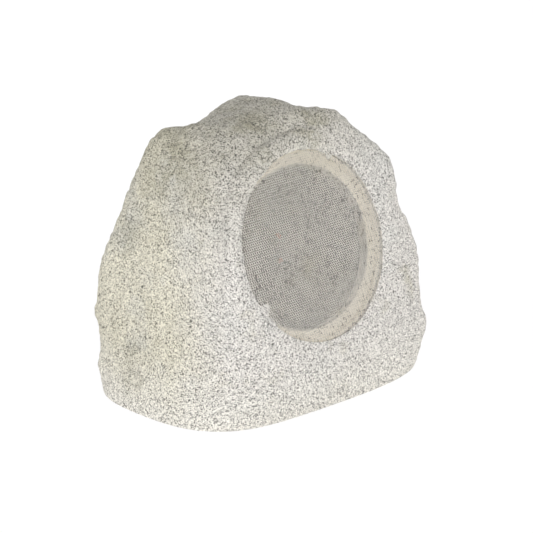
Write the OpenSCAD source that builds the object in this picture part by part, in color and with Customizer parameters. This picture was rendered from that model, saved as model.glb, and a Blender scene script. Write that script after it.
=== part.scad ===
// Garden speaker in a hollow boulder shell, with a two way driver behind a round grille.
// The origin is the middle of the footprint, on the ground. The grille faces -Y.

/* [Boulder] */
// Distance of the front face from the origin, along its own slope
face_d = 142; // [139:1:146]
// Backward lean of the front face, in degrees
face_tilt = 18; // [14:1:20]
// Height of the top above the ground
top_h = 318; // [305:1:330]
// Half width of the right side near the ground
right_d = 151; // [146:1:160]
// Half width of the left side near the ground
left_d = 167; // [162:1:176]
// Half depth of the back near the ground
back_d = 136; // [132:1:150]
// Sharpness of the edges between the faces of the boulder
crispness = 12; // [9:1:16]
// Scale of the lumps and hollows in the stone
lump_scale = 1; // [0.6:0.1:1.1]
// Wall of the moulded shell
wall = 7; // [6:0.5:9]

/* [Grille and recess] */
// Sideways place of the grille's middle
grille_x = 5.5; // [3:0.5:9]
// Height of the grille's middle
grille_z = 175; // [170:1:178]
// Radius of the grille
grille_r = 105; // [102:0.5:106]
// Depth of the grille below the stone's face
lip_depth = 1.2; // [0.8:0.2:3]
// Depth of the grille's turned rim
rim_depth = 5; // [4:0.5:7]
// Thickness of the grille's sheet
sheet_t = 1.2; // [1:0.1:1.6]
// Spacing of the holes in the grille
hole_pitch = 9; // [8.5:0.5:12]
// Width of each hole across its corners
hole_w = 6.2; // [4:0.2:6.6]
// Depth of the ledge behind the grille's face
ledge_depth = 10; // [9:1:14]
// Thickness of the ledge that carries the driver
ledge_t = 10; // [8:1:12]
// Radius of the sound opening in the ledge
opening_r = 88; // [86:0.5:90]

/* [Base] */
// Height of the base plate's underside above the ground
plate_z = 26; // [25:1:32]
// Thickness of the base plate
plate_t = 4; // [3:0.5:5]
// Thickness of the base gasket
seal_t = 2; // [1.5:0.5:3]
// Thickness of the flange inside the shell that carries the base plate
flange_t = 6; // [5:1:8]
// Number of base screws
base_screws_n = 8; // [6:1:10]
// Distance of the base screws from the shell's inner wall
screw_in = 11; // [10:1:13]
// Height of the ribs on the base plate
rib_h = 6; // [4:1:8]
// Distance of the ribs from the sides of the base plate
rib_in = 52; // [46:1:60]
// Radius of a base screw
base_screw_r = 2; // [1.8:0.1:2.4]
// Width of the notch for a cable in the rear rim
notch_w = 24; // [16:1:30]
// Height of the notch for a cable in the rear rim
notch_h = 15; // [12:1:18]

/* [Driver] */
// Outer radius of the driver's flange
flange_r = 100; // [99:0.5:101]
// Radius of the circle of driver screws
screw_circle_r = 94; // [93.5:0.5:95]
// Number of driver screws
driver_screws_n = 8; // [6:1:8]
// Outer radius of the cone
cone_r = 70; // [68:0.5:72]
// Depth of the cone
cone_depth = 31; // [29:0.5:33]
// Radius of the voice coil, to the outside of its former
coil_r = 19; // [18:0.5:20]
// Radius of the ring magnet
magnet_r = 48; // [44:1:50]
// Height of the ring magnet
magnet_h = 15; // [12:1:18]
// Radius of the tweeter's housing
tweeter_r = 15; // [13:0.5:16]

/* [Cable gland] */
// Sideways place of the gland in the base plate
gland_x = 0; // [-20:1:20]
// Distance of the gland from the back of the boulder
gland_in = 54; // [50:1:60]
// Radius of the gland's thread
gland_r = 8; // [7:0.5:9]
// Radius of the cable the gland takes
cable_r = 3.2; // [2.5:0.1:4]

/* [Crossover] */
// Length of the crossover board
board_l = 96; // [90:1:104]
// Width of the crossover board
board_w = 62; // [58:1:66]
// Height of the posts under the board
post_h = 6; // [5:1:10]

/* [Smoothness] */
// Number of steps round the boulder
steps_round = 72; // [60:6:80]
// Number of steps from the ground to the top
steps_up = 28; // [24:1:30]

/* [Hidden] */
$fn = 96;
stone = [0.80, 0.79, 0.75];
black = [0.12, 0.12, 0.13];
steel = [0.72, 0.73, 0.75];
copper = [0.72, 0.42, 0.22];
// The front face's middle, where the driver's axis meets the grille's outer face.
grille_y = -(face_d - lip_depth - grille_z * sin(face_tilt)) / cos(face_tilt);
grille_slack = 0.5;
gland_y = back_d - gland_in;
// A length that reaches past every side of the boulder.
beyond = right_d + left_d + back_d;
seat_r = grille_r - 4;
land_r = grille_r + 4;
fade_r = land_r + 40;
pod_r = grille_r + 9;
gasket_t = 1.5;
front_z = -(ledge_depth + ledge_t + gasket_t);
frame_t = 2;
cone_t = 0.9;
sheet = 0.8;
shelf_r = opening_r - 6;
// Roll of the surround, between the cone's edge and the frame's shelf.
roll_r = (shelf_r + 0.5 - cone_r - 0.5) / 2;
roll_c = cone_r + 0.5 + roll_r;
edge_z = front_z + sheet;
neck_z = edge_z - cone_depth;
spider_z = neck_z - 4;
spider_r = 52;
floor_z = spider_z - 15;
gap = 0.9;
pole_r = coil_r - 0.6 - gap;
winding_t = 1.2;
plate_ring_t = 6;
magnet_top = floor_z - frame_t - plate_ring_t;
back_t = 6;
tweeter_z = neck_z + 8;
seal_z = plate_z + plate_t;
flange_z = seal_z + seal_t;
board_z = seal_z + post_h;
board_x = -12;
board_y = 8;
// Terminal strip: angle round the driver, and distance from its axis.
strip_a = 210;
strip_r = shelf_r + 4;

// Main faces of the boulder: direction round, direction up, distance from the origin.
faces = [
    [-90, face_tilt, face_d],
    [-70, -17, left_d - 3],
    [10, -5, right_d],
    [45, 8, right_d],
    [90, 10, back_d],
    [135, -10, left_d + 1],
    [185, 15, left_d],
    [-133, 3, left_d - 6],
    [-98, -16, face_d - 18],
    [-27, -36, right_d + 14],
    [-170, -28, left_d + 1],
    [90, -27, back_d - 2],
    [0, 90, top_h],
    [-136, 53, top_h - 28],
    [22, 41, top_h - 52],
    [163, 34, top_h - 48],
    [90, 36, top_h - 58]];

// Lumps and hollows: direction round, direction up, spread in degrees, height.
lumps = [
    // Hollow above the lower right bulge, and the notch under the right shoulder
    [-33, 21, 14, -10],
    [-20, 47, 10, -16],
    // Right shoulder, with a dip before it
    [-23, 54, 5, 9],
    [-12, 64, 10, -5],
    [-16, 72, 7, 6],
    [-8, 77, 5, -6],
    // Crown, and the dip behind the left shoulder
    [24, 78, 10, -2],
    [64, 78, 9, 4],
    [110, 77, 9, -6],
    [125, 77, 7, -12],
    [133, 70, 6, 6],
    [140, 60, 10, -4],
    [143, 30, 12, -2],
    [150, 14, 12, -5],
    // Hollows and swellings of the left side
    [168, 64, 7, -4],
    [152, 46, 9, -3],
    [172, 18, 10, -4],
    [178, 46, 9, 4],
    [-160, 34, 9, 4],
    [-150, 55, 8, 3],
    [-162, 66, 7, 3],
    [-166, 11, 9, 3],
    // Brow over the grille
    [-110, 84, 6, -3],
    [-28, 80, 6, 2],
    // Foot of the front
    [-127, 14, 9, 3],
    [-64, 16, 9, -3],
    // Back
    [60, 40, 12, -6],
    [95, 22, 12, 4],
    [70, 10, 9, -4],
    [115, 45, 12, -5],
    [30, 24, 10, 3],
    [5, 34, 9, -3],
    [128, 30, 9, 3],
    [-36, 12, 5, 5],
    [-24, 46, 4, -3],
    [19, 81, 4, 3],
    [57, 80, 4, 3],
    [142, 41, 5, 3],
    [144, 25, 4, 4],
    [149, 8, 5, 5]];

function unit(az, el) = [cos(el) * cos(az), cos(el) * sin(az), sin(el)];
function ones(n) = [for (i = [1:n]) 1];
function ease(t) = let (s = min(1, max(0, t))) s * s * (3 - 2 * s);
face_n = unit(-90, face_tilt);

// Radius of the boulder in direction d, with its faces moved inward by inset.
function soft_r(d, inset) =
    let (terms = [for (f = faces) pow(max(0, (unit(f[0], f[1]) * d)) / (f[2] - inset), crispness)])
    1 / pow(terms * ones(len(terms)), 1 / crispness);

// Height of the lumps in direction d. They fade out at the ground.
function lump_h(d) =
    let (terms = [for (l = lumps) l[3] * exp(-(1 - unit(l[0], l[1]) * d) / (1 - cos(l[2])))])
    lump_scale * (terms * ones(len(terms))) * ease(d[2] / 0.14);

// Radius at which direction d meets the flat land round the grille.
function land_hit(d, inset) = (face_d - inset) / max(0.05, face_n * d);

// Distance of that point from the grille's axis.
function land_off(d) = norm(cross(d * land_hit(d, 0) - [grille_x, grille_y, grille_z], face_n));

// Surface of the stone: soft faces and lumps, flattened round the grille.
function rock_r(d, inset) =
    let (b = face_n * d > 0.1 ? ease((fade_r - land_off(d)) / (fade_r - land_r)) : 0)
    (1 - b) * (soft_r(d, inset) + lump_h(d)) + b * land_hit(d, inset);

// Closed solid of the stone's surface, from the ground ring to the top point.
module rock_solid(inset, nu, nv, drop) {
    ring_n = nv - 1;
    rings = [for (j = [0:ring_n - 1]) for (i = [0:nu - 1])
        let (d = unit(360 * i / nu, 90 * j / nv)) d * rock_r(d, inset)];
    low = [for (i = [0:nu - 1])
        let (d = unit(360 * i / nu, 0)) d * rock_r(d, inset) - [0, 0, drop]];
    top_a = unit(0, 90) * rock_r(unit(0, 90), inset);
    body = drop > 0 ? concat(low, rings) : rings;
    rows = drop > 0 ? ring_n + 1 : ring_n;
    tip = rows * nu;
    sides = [for (j = [0:rows - 2]) for (i = [0:nu - 1]) for (k = [0, 1])
        let (a = j * nu + i, b = j * nu + (i + 1) % nu)
        k == 0 ? [a, a + nu, b] : [b, a + nu, b + nu]];
    cap = [for (i = [0:nu - 1]) [(rows - 1) * nu + i, tip, (rows - 1) * nu + (i + 1) % nu]];
    floor = [[for (i = [0:nu - 1]) i]];
    polyhedron(points = concat(body, [top_a]), faces = concat(sides, cap, floor), convexity = 6);
}

// Distance from the upright axis to the stone's surface, at height z in direction a.
function side_r(a, z) =
    let (el = atan(z / rock_r(unit(a, 0), 0))) rock_r(unit(a, el), 0) * cos(el);

// The least of that distance between the ground and the base flange.
function foot_r(a) = min(side_r(a, 0), side_r(a, plate_z), side_r(a, flange_z));

// Outline of the footprint, moved inward.
module foot_outline(inset) {
    polygon([for (a = [0:7.5:352.5]) let (r = foot_r(a) - inset) [r * cos(a), r * sin(a)]]);
}

// Places of the base screws, evenly round the footprint.
function base_spot(i) =
    let (a = 360 * (i + 0.5) / base_screws_n, r = foot_r(a) - wall - screw_in)
    [r * cos(a), r * sin(a), 0];

// Moves its children onto the driver's axis, with +Z outward through the grille.
module on_face() {
    translate([grille_x, grille_y, grille_z]) rotate([90 - face_tilt, 0, 0]) children();
}

// Copies its children round the driver's axis.
module round_axis(n, r, start = 0) {
    for (i = [0:n - 1]) rotate([0, 0, start + 360 * i / n]) translate([r, 0, 0]) children();
}

// Ring between two radii, from z0 to z1.
module ring(r0, r1, z0, z1) {
    translate([0, 0, z0]) difference() {
        cylinder(r = r1, h = z1 - z0);
        translate([0, 0, -1]) cylinder(r = r0, h = z1 - z0 + 2);
    }
}

// Disc from z0 to z1.
module disc(r, z0, z1) {
    translate([0, 0, z0]) cylinder(r = r, h = z1 - z0);
}

// Point of a cubic curve with four control points.
function bez(c, t) = pow(1 - t, 3) * c[0] + 3 * t * pow(1 - t, 2) * c[1]
    + 3 * t * t * (1 - t) * c[2] + pow(t, 3) * c[3];

// Round wire of radius r along a cubic curve.
module wire(c, r, n = 14) {
    pts = [for (i = [0:n]) bez(c, i / n)];
    dirs = [for (i = [0:n])
        let (v = i == 0 ? c[1] - c[0] : i == n ? c[3] - c[2] : pts[i + 1] - pts[i - 1]) v / norm(v)];
    // One fixed sideways vector that no part of the curve points along
    side = [0.31, 0.83, 0.46] / norm([0.31, 0.83, 0.46]);
    m = 8;
    skin = [for (i = [0:n]) for (k = [0:m - 1])
        let (u0 = cross(dirs[i], side), u = u0 / norm(u0), w = cross(dirs[i], u))
        pts[i] + r * (cos(360 * k / m) * u + sin(360 * k / m) * w)];
    tris = [for (i = [0:n - 1]) for (k = [0:m - 1]) for (q = [0, 1])
        let (a = i * m + k, b = i * m + (k + 1) % m)
        q == 0 ? [a, a + m, b] : [b, a + m, b + m]];
    polyhedron(points = skin, faces = concat(tris,
        [[for (k = [0:m - 1]) k], [for (k = [m - 1:-1:0]) n * m + k]]));
}

// Round head screw that points up, with its head under z = 0.
module screw_up(r, l, head_r, head_h) {
    cylinder(r = r, h = l, $fn = 32);
    difference() {
        translate([0, 0, -head_h]) cylinder(r1 = head_r * 0.72, r2 = head_r, h = head_h, $fn = 32);
        for (a = [0, 90]) rotate([0, 0, a])
            translate([-head_r * 0.5, -0.4, -head_h - 1]) cube([head_r, 0.8, 2.1]);
    }
}

module rock_shell() {
    color(stone) difference() {
        rock_solid(0, steps_round, steps_up, 0);
        // Hollow, less the parts that stand in it
        difference() {
            rock_solid(wall, 48, 18, 2);
            // Thick ring round the driver
            on_face() disc(pod_r, -(ledge_depth + ledge_t), 40);
        }
        // Recess of the grille, the well behind it and the sound opening
        on_face() {
            disc(grille_r + grille_slack, -rim_depth, 60);
            disc(seat_r, -ledge_depth, 1);
            disc(opening_r, -(ledge_depth + ledge_t + 1), 1);
            round_axis(driver_screws_n, screw_circle_r, 22.5)
                disc(1.6, -(ledge_depth + ledge_t + 1), -(ledge_depth + 2), $fn = 24);
        }
        // Notch for a cable in the rear rim
        translate([gland_x, 0, 0]) {
            translate([-notch_w / 2, back_d / 2, -1])
                cube([notch_w, beyond, notch_h - notch_w / 2 + 1]);
            translate([0, back_d / 2, notch_h - notch_w / 2]) rotate([-90, 0, 0])
                cylinder(r = notch_w / 2, h = beyond);
        }
    }
}

// Ring bonded inside the shell, with a boss over each base screw.
module mounting_ring() {
    color([0.62, 0.58, 0.5]) difference() {
        union() {
            intersection() {
                rock_solid(wall + 0.05, 48, 18, 2);
                translate([0, 0, flange_z]) linear_extrude(flange_t) difference() {
                    square([2 * beyond, 2 * beyond], center = true);
                    foot_outline(wall + 20);
                }
            }
            for (i = [0:base_screws_n - 1]) translate(base_spot(i))
                disc(base_screw_r + 3.5, flange_z, flange_z + flange_t + 8);
        }
        // Pilot holes of the base screws
        for (i = [0:base_screws_n - 1]) translate(base_spot(i))
            disc(base_screw_r, flange_z - 1, flange_z + flange_t + 5, $fn = 24);
    }
}

// Round sheet with staggered six sided holes and a rim turned back at its edge.
module grille() {
    row = hole_pitch * sqrt(3) / 2;
    reach = grille_r - 6;
    n = ceil(reach / row);
    color(stone) on_face() {
        translate([0, 0, -sheet_t]) linear_extrude(sheet_t) difference() {
            circle(r = grille_r);
            for (j = [-n:n]) for (i = [-n - 1:n + 1]) {
                x = (i + (j % 2 == 0 ? 0 : 0.5)) * hole_pitch;
                y = j * row;
                if (norm([x, y]) < reach - hole_w / 2) translate([x, y]) circle(d = hole_w, $fn = 6);
            }
        }
        ring(grille_r - sheet_t, grille_r, -rim_depth, 0);
    }
}

module base_plate() {
    color(black) difference() {
        union() {
            translate([0, 0, plate_z]) linear_extrude(plate_t) foot_outline(wall + 3);
            // Stiffening ribs on the upper side
            for (x = [-left_d + wall + rib_in, right_d - wall - rib_in])
                translate([x - 1.5, -(foot_r(-90) - wall - rib_in), seal_z - 0.01])
                    cube([3, foot_r(-90) + foot_r(90) - 2 * (wall + rib_in), rib_h + 0.01]);
        }
        for (i = [0:base_screws_n - 1]) translate(base_spot(i))
            disc(base_screw_r + 0.3, plate_z - 1, plate_z + plate_t + 1, $fn = 24);
        translate([gland_x, gland_y, 0]) disc(gland_r + 0.1, plate_z - 1, plate_z + plate_t + 1);
        board_spots() disc(1.5, plate_z + plate_t - 3, plate_z + plate_t + 1, $fn = 24);
    }
}

module base_gasket() {
    color([0.2, 0.2, 0.2]) difference() {
        translate([0, 0, seal_z]) linear_extrude(seal_t) difference() {
            foot_outline(wall + 3.5);
            foot_outline(wall + 19);
        }
        for (i = [0:base_screws_n - 1]) translate(base_spot(i))
            disc(base_screw_r + 0.3, seal_z - 1, seal_z + seal_t + 1, $fn = 24);
    }
}

module base_screws() {
    color(steel) for (i = [0:base_screws_n - 1]) translate(base_spot(i) + [0, 0, plate_z])
        screw_up(base_screw_r - 0.05, plate_t + seal_t + flange_t + 3, 4, 2.6);
}

// Hollow threaded body of the cable gland, set in the base plate from below.
module gland_body() {
    color(black) translate([gland_x, gland_y, 0]) difference() {
        union() {
            disc(gland_r, plate_z - 14, plate_z + plate_t + 9);
            translate([0, 0, plate_z - 5]) cylinder(r = gland_r + 4, h = 5, $fn = 6);
        }
        disc(cable_r + 0.4, plate_z - 20, plate_z + 20);
        disc(gland_r - 2, plate_z - 15, plate_z - 5);
    }
}

module gland_locknut() {
    color(black) translate([gland_x, gland_y, plate_z + plate_t]) difference() {
        cylinder(r = gland_r + 4.5, h = 5, $fn = 6);
        translate([0, 0, -1]) cylinder(r = gland_r + 0.05, h = 7);
    }
}

// Rubber sleeve that grips the cable inside the gland.
module gland_seal() {
    color([0.25, 0.25, 0.26]) translate([gland_x, gland_y, 0])
        ring(cable_r, gland_r - 2.05, plate_z - 16, plate_z - 5);
}

module gland_nut() {
    color(black) translate([gland_x, gland_y, 0]) difference() {
        union() {
            translate([0, 0, plate_z - 16]) cylinder(r = gland_r + 3.5, h = 9, $fn = 6);
            translate([0, 0, plate_z - 21]) cylinder(r1 = gland_r - 2, r2 = gland_r + 1.6, h = 5);
        }
        disc(gland_r + 0.05, plate_z - 16, plate_z - 6);
        disc(cable_r + 0.8, plate_z - 22, plate_z - 15);
    }
}

// Pressed basket: flange, slanted arms, a shelf for the spider and a floor on the magnet.
module driver_frame() {
    color(black) on_face() difference() {
        rotate_extrude() polygon([
            [flange_r, front_z - frame_t], [flange_r, front_z], [shelf_r, front_z],
            [shelf_r - 2, front_z - frame_t], [spider_r + 6, spider_z - 1],
            [spider_r - 4, spider_z - 1], [46, floor_z], [coil_r + 2.5, floor_z],
            [coil_r + 2.5, floor_z - frame_t], [47.5, floor_z - frame_t],
            [spider_r - 2, spider_z - 1 - frame_t], [spider_r + 8, spider_z - 1 - frame_t],
            [shelf_r + 1.5, front_z - frame_t]]);
        round_axis(driver_screws_n, screw_circle_r, 22.5)
            disc(2.2, front_z - frame_t - 1, front_z + 1, $fn = 24);
        // Six windows between the arms
        for (i = [0:5]) rotate([0, 0, 60 * i + 30]) translate([0, 0, spider_z + 1.5])
            linear_extrude(front_z - frame_t - spider_z - 4.5) polygon([
                [spider_r + 2, -24], [flange_r, -36], [flange_r, 36], [spider_r + 2, 24]]);
        // Small vents under the spider
        for (i = [0:5]) rotate([0, 0, 60 * i]) translate([44, -9, floor_z + 3]) cube([14, 18, 6]);
    }
}

module driver_gasket() {
    color([0.15, 0.15, 0.15]) on_face() difference() {
        ring(opening_r + 0.5, flange_r, front_z, front_z + gasket_t);
        round_axis(driver_screws_n, screw_circle_r, 22.5)
            disc(2.2, front_z - 1, front_z + gasket_t + 1, $fn = 24);
    }
}

module driver_screws() {
    color(steel) on_face() round_axis(driver_screws_n, screw_circle_r, 22.5)
        translate([0, 0, front_z - frame_t]) screw_up(1.55, frame_t + gasket_t + 7, 3.6, 2.2);
}

// Rubber half roll between the cone's edge and the frame.
module surround() {
    color([0.1, 0.1, 0.1]) on_face() rotate_extrude() union() {
        difference() {
            translate([roll_c, edge_z]) circle(r = roll_r + sheet / 2, $fn = 48);
            translate([roll_c, edge_z]) circle(r = roll_r - sheet / 2, $fn = 48);
            translate([roll_c - 20, edge_z - 20]) square([40, 20]);
        }
        translate([shelf_r + 0.1, edge_z - sheet]) square([opening_r - shelf_r - 0.4, sheet]);
        translate([roll_c + roll_r - sheet / 2, edge_z - sheet]) square([sheet + 0.5, sheet + 0.4]);
        translate([cone_r - 4, edge_z - sheet + 0.8]) square([4.9, sheet]);
    }
}

// Paper cone, a little curved, with a flat edge under the surround and a collar at its neck.
module cone() {
    n = 10;
    run = cone_r - 4.6 - coil_r;
    rise = edge_z - neck_z - 0.6;
    up = [for (i = [1:n]) let (t = i / n)
        [coil_r + 0.2 + run * t, neck_z + rise * (0.82 * t + 0.18 * t * t)]];
    down = [for (i = [n - 1:-1:1]) up[i - 1] + [0.2, -cone_t * 1.3]];
    rim = [[cone_r - 4.3, edge_z - 0.02], [cone_r, edge_z - 0.02], [cone_r, edge_z - 1.2],
        [cone_r - 3.8, edge_z - 1.6]];
    collar = [[coil_r + 1.25, neck_z - 0.6], [coil_r + 1.25, neck_z - 2],
        [coil_r + 0.05, neck_z - 2], [coil_r + 0.05, neck_z + 1]];
    color([0.14, 0.14, 0.15]) on_face() rotate_extrude() polygon(concat(up, rim, down, collar));
}

// Cloth disc with round folds, between the voice coil and the frame's shelf.
module spider() {
    n = 60;
    r0 = coil_r + 0.1;
    r1 = spider_r + 3;
    wave = [for (i = [0:n]) let (t = i / n, r = r0 + 2 + (r1 - r0 - 11) * t)
        [r, spider_z - 0.35 + 1.6 * sin(360 * 4 * t) * sin(180 * t)]];
    top = concat([[r0, spider_z - 0.35]], wave, [[r1, spider_z - 0.35]]);
    low = [for (i = [len(top) - 1:-1:0]) top[i] - [0, 0.65]];
    color([0.78, 0.66, 0.36]) on_face() rotate_extrude() polygon(concat(top, low));
}

module voice_coil() {
    color(copper) on_face() union() {
        ring(coil_r - 0.6, coil_r, floor_z - 12, neck_z + 1.5);
        ring(coil_r - 0.3, coil_r + winding_t, floor_z - 10, floor_z - 1);
    }
}

module top_plate() {
    color(steel) on_face()
        ring(coil_r + winding_t + gap, magnet_r - 3, magnet_top, magnet_top + plate_ring_t);
}

module magnet() {
    color([0.22, 0.22, 0.24]) on_face() ring(coil_r + 6, magnet_r, magnet_top - magnet_h, magnet_top);
}

// Rear disc of the magnet with the pole in its middle and a vent through it.
module back_plate() {
    z0 = magnet_top - magnet_h;
    color(steel) on_face() difference() {
        union() {
            disc(magnet_r - 3, z0 - back_t, z0);
            disc(pole_r, z0 - 1, magnet_top + plate_ring_t);
        }
        disc(4, z0 - back_t - 1, magnet_top + plate_ring_t + 1);
        translate([0, 0, z0 - back_t - 1]) cylinder(r1 = 8, r2 = 4, h = 4);
    }
}

// Tube on the pole that carries the tweeter in front of the cone's neck.
module tweeter_post() {
    z0 = magnet_top + plate_ring_t;
    color(black) on_face() difference() {
        union() {
            disc(6.5, z0, tweeter_z);
            disc(10, z0, z0 + 2.5);
        }
        disc(3, z0 - 1, tweeter_z + 1);
    }
}

// Round cup of the tweeter, with a flared front ring.
module tweeter_housing() {
    z0 = tweeter_z;
    color(black) on_face() difference() {
        union() {
            disc(tweeter_r, z0, z0 + 11);
            translate([0, 0, z0 + 11]) cylinder(r1 = tweeter_r, r2 = tweeter_r + 3, h = 3);
        }
        disc(tweeter_r - 2, z0 + 2, z0 + 11.01);
        translate([0, 0, z0 + 11]) cylinder(r1 = tweeter_r - 4, r2 = tweeter_r + 1.5, h = 3.01);
        disc(3, z0 - 1, z0 + 3, $fn = 24);
    }
}

module tweeter_magnet() {
    color([0.3, 0.3, 0.32]) on_face() disc(tweeter_r - 3, tweeter_z + 2, tweeter_z + 8);
}

// Thin dome of the tweeter, on its ring.
module tweeter_dome() {
    r = tweeter_r - 5.5;
    h = 3.4;
    big = (r * r + h * h) / (2 * h);
    z0 = tweeter_z + 9.6;
    color([0.5, 0.5, 0.52]) on_face() rotate_extrude() union() {
        intersection() {
            difference() {
                translate([0, z0 + h - big]) circle(r = big);
                translate([0, z0 + h - big]) circle(r = big - 0.5);
            }
            translate([0, z0 - 0.2]) square([r + 0.2, h + 1]);
        }
        translate([r - 0.6, z0 - 1.6]) square([tweeter_r - 2 - r + 0.6 - 0.05, 1.4]);
        translate([r - 0.6, z0 - 1.6]) square([0.8, 2]);
    }
}

// Small board with two tags, hung under the flange beside a window of the basket.
module terminal_strip() {
    color([0.55, 0.42, 0.2]) on_face() rotate([0, 0, strip_a]) {
        translate([strip_r, -12, front_z - 20]) cube([2, 24, 20 - frame_t]);
        for (y = [-7, 7]) translate([strip_r + 1.6, y - 1.5, front_z - 26]) cube([0.8, 3, 10]);
    }
}

// Two braided leads from the strip to the cone.
module lead_wires() {
    color(copper) on_face() rotate([0, 0, strip_a]) for (s = [-1, 1]) wire([
        [strip_r - 0.7, 7 * s, front_z - 14], [strip_r - 14, 8 * s, front_z - 20],
        [coil_r + 30, 6 * s, neck_z - 2], [coil_r + 17, 5 * s, neck_z + 7.7]], 0.6);
}

// Places of the posts under the board.
module board_spots() {
    for (x = [-1, 1]) for (y = [-1, 1])
        translate([board_x + x * (board_l / 2 - 5), board_y + y * (board_w / 2 - 5), 0]) children();
}

module crossover_board() {
    color([0.1, 0.32, 0.18]) difference() {
        translate([board_x - board_l / 2, board_y - board_w / 2, board_z]) cube([board_l, board_w, 1.6]);
        board_spots() disc(1.7, board_z - 1, board_z + 3, $fn = 24);
    }
}

module board_posts() {
    color([0.85, 0.85, 0.8]) board_spots() ring(1.5, 3.5, seal_z, board_z, $fn = 32);
}

module board_screws() {
    color(steel) board_spots() translate([0, 0, board_z + 1.6]) rotate([180, 0, 0])
        screw_up(1.45, post_h + 4, 2.8, 1.8);
}

// Two round capacitors that lie on the board.
module capacitors() {
    color([0.75, 0.62, 0.2]) for (i = [0, 1])
        translate([board_x - 34, board_y - 8 + 19 * i, board_z + 1.6 + 8]) rotate([0, 90, 0]) {
            cylinder(r = 8, h = 30);
            translate([0, 0, -1]) cylinder(r = 6.5, h = 32);
        }
}

// Two wound coils on spools.
module inductors() {
    for (i = [0, 1]) translate([board_x + 14 + 8 * i, board_y - 8 + 22 * i, board_z + 1.6]) {
        color(copper) ring(6, 12 - 2 * i, 1, 13, $fn = 48);
        color(black) ring(4, 12.5 - 2 * i, 0, 1, $fn = 48);
        color(black) ring(4, 6, 0, 14, $fn = 48);
        color(black) ring(4, 12.5 - 2 * i, 13, 14, $fn = 48);
    }
}

module resistor() {
    color([0.88, 0.86, 0.8]) translate([board_x - 32, board_y - 27, board_z + 1.6]) cube([22, 7, 7]);
}

// Block with two screw terminals, where an incoming cable ends.
module input_block() {
    color([0.1, 0.3, 0.55]) translate([board_x + 20, board_y - 30, board_z + 1.6]) difference() {
        cube([16, 9, 11]);
        for (x = [4, 12]) {
            translate([x, 4.5, 5]) cylinder(r = 2, h = 7, $fn = 24);
            translate([x - 1.6, -1, 2]) cube([3.2, 7, 3.5]);
        }
    }
}

// Wires from the board to the terminal strip, and to the tweeter through the pole.
module driver_wires() {
    a = 90 - face_tilt;
    function out(p) = [grille_x + p[0], grille_y + p[1] * cos(a) - p[2] * sin(a),
        grille_z + p[1] * sin(a) + p[2] * cos(a)];
    function turned(r, y, z) = [r * cos(strip_a) - y * sin(strip_a),
        r * sin(strip_a) + y * cos(strip_a), z];
    vent = magnet_top - magnet_h - back_t;
    for (s = [-1, 1]) color(s < 0 ? [0.6, 0.08, 0.08] : [0.1, 0.1, 0.1]) {
        wire([[board_x - 43, board_y + 3 * s, board_z + 1.7], [board_x - 58, board_y + 3 * s, board_z + 30],
            out(turned(strip_r + 2, -7 * s, front_z - 60)),
            out(turned(strip_r + 2, -7 * s, front_z - 26.1))], 1, 18);
        wire([[board_x + 4 + 2 * s, board_y + 26, board_z + 1.7], [board_x + 6 + 2 * s, board_y + 40, board_z + 50],
            out([1.5 * s, 0, vent - 40]), out([1.5 * s, 0, vent + 12])], 1, 18);
        on_face() translate([1.5 * s, 0, vent + 11]) cylinder(r = 0.85, h = tweeter_z - vent - 9.2, $fn = 16);
    }
}

rock_shell();
mounting_ring();
grille();
base_plate();
base_gasket();
base_screws();
gland_body();
gland_locknut();
gland_seal();
gland_nut();
driver_frame();
driver_gasket();
driver_screws();
surround();
cone();
spider();
voice_coil();
top_plate();
magnet();
back_plate();
tweeter_post();
tweeter_housing();
tweeter_magnet();
tweeter_dome();
terminal_strip();
lead_wires();
crossover_board();
board_posts();
board_screws();
capacitors();
inductors();
resistor();
input_block();
driver_wires();
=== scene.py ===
import bpy
import math
import numpy as np
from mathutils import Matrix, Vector


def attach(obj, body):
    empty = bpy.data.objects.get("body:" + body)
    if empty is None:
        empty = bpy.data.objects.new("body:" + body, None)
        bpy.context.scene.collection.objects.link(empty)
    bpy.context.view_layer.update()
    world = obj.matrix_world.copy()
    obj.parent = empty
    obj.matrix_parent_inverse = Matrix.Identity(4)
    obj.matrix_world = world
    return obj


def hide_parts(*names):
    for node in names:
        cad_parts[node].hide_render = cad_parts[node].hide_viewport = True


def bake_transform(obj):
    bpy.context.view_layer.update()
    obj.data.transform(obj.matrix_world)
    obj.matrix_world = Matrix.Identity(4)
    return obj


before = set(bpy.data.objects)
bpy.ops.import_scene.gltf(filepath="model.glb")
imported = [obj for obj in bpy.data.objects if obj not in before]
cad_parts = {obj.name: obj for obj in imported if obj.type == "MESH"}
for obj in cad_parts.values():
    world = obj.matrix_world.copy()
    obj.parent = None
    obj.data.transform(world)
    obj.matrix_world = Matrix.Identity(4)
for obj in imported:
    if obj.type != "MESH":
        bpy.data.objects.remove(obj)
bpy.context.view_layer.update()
print("frame loaded:", len(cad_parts), "nodes")
mm = 0.001

# the camera, at the photograph's angle: degrees, metres and pixels
cameraSetup = {"azimuth": -43.75, "elevation": 20.07, "distance": 1.7, "targetHeight": 0.15,
               "pixelsPerMetre": 892.0, "targetPixel": (252.97, 247.33), "picture": 533.0,
               "sensor": 36.0, "clip": (0.05, 60)}


def aimAtStone(data, azimuth, elevation, distance):
    # a camera or lamp at that distance from the stone's middle, which it looks at
    az, el = math.radians(azimuth), math.radians(elevation)
    back = Vector((math.sin(az) * math.cos(el), -math.cos(az) * math.cos(el), math.sin(el)))
    holder = bpy.data.objects.new(data.name, data)
    bpy.context.collection.objects.link(holder)
    holder.location = Vector((0, 0, cameraSetup["targetHeight"])) + back * distance
    holder.rotation_euler = back.to_track_quat("Z", "Y").to_euler()
    return holder


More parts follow.
